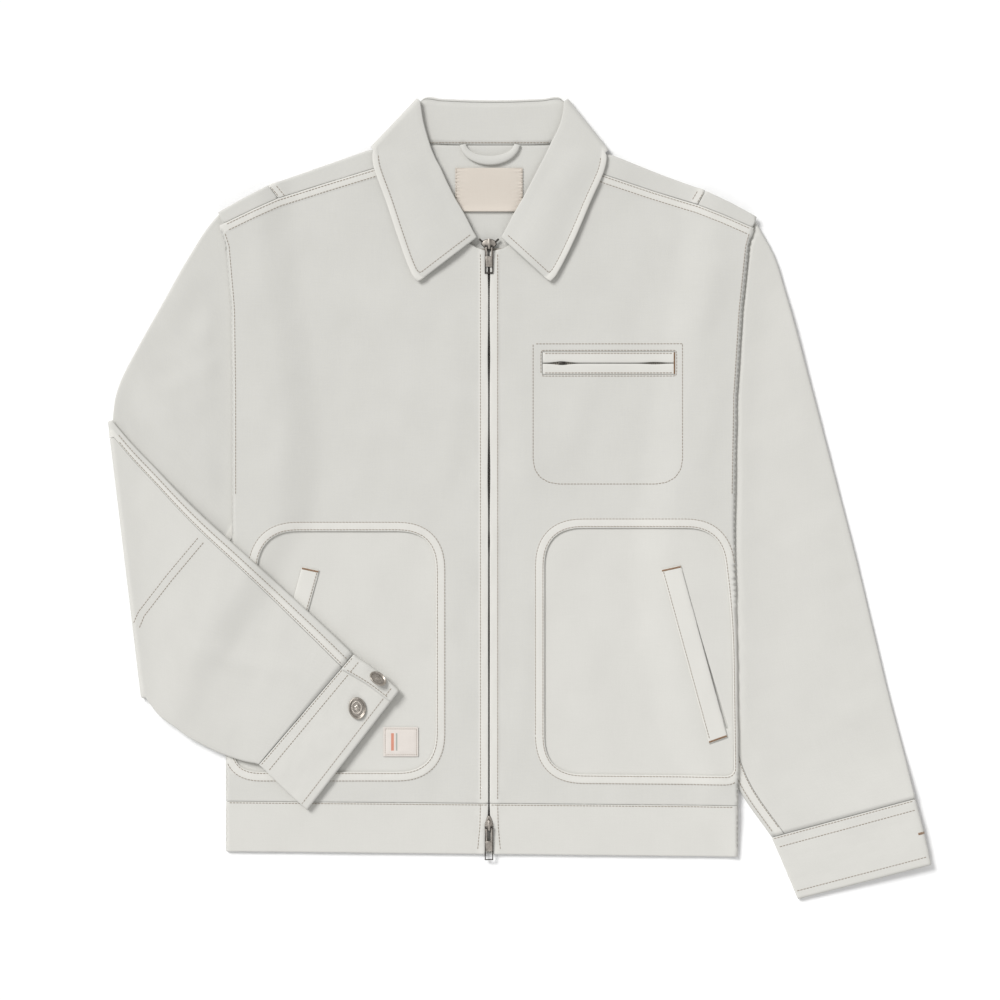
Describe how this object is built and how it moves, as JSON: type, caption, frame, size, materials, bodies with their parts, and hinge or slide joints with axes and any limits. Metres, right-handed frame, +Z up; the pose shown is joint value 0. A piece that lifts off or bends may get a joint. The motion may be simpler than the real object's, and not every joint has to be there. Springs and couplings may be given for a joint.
{
  "type": "zip-front chore jacket laid flat",
  "caption": "Cotton twill work jacket laid flat, one sleeve folded over the body, with a shirt collar, two-way zip, inset hand pockets and a zipped chest pocket.",
  "frame": {"origin": "centre of the jacket's footprint, on the surface it lies on", "axes": "+Z up out of the surface, +Y from hem to collar, +X towards the wearer's left"},
  "size_m": [0.7566, 0.7362, 0.0139],
  "materials": {
    "twill": "matte ecru cotton twill",
    "label": "soft cream woven label",
    "tape": "woven zip tape",
    "nickel": "antique nickel, worn bright on its edges"
  },
  "bodies": {
    "jacket": {"back_centre": "twill", "side_back_right": "twill", "side_back_left": "twill", "hem_back": "twill", "front_right": "twill", "hem_front_right": "twill", "front_left": "twill", "hem_front_left": "twill", "pocket_panel_right": "twill", "pocket_panel_left": "twill", "welt_right": "twill", "welt_left": "twill", "chest_welt_upper": "twill", "chest_welt_lower": "twill", "hanger_loop": "twill", "top_sleeve_left": "twill", "under_sleeve_left": "twill", "top_sleeve_right": "twill", "under_sleeve_right": "twill", "cuff_right": "twill", "cuff_left": "twill", "collar_fall": "twill", "collar_stand": "twill", "pocket_patch": "label", "neck_label": "label", "zip_tape_right": "tape", "zip_tape_left": "tape", "chest_zip_tape": "tape", "chest_zip_slider": "nickel", "button_right_1": "nickel", "button_right_2": "nickel", "button_left_1": "nickel", "button_left_2": "nickel", "zip_slider_top": "nickel", "zip_slider_bottom": "nickel"},
    "top_pull": {"zip_pull_top": "nickel"},
    "bottom_pull": {"zip_pull_bottom": "nickel"}
  },
  "joints": [
    {"name": "top_pull_hinge", "type": "hinge", "parent": "jacket", "child": "top_pull", "pos_m": [-0.0282, 0.2316, 0.0075], "axis": [-1, 0, 0], "range_deg": [0, 165]},
    {"name": "bottom_pull_hinge", "type": "hinge", "parent": "jacket", "child": "bottom_pull", "pos_m": [-0.0282, -0.3024, 0.0075], "axis": [-1, 0, 0], "range_deg": [0, 165]}
  ]
}
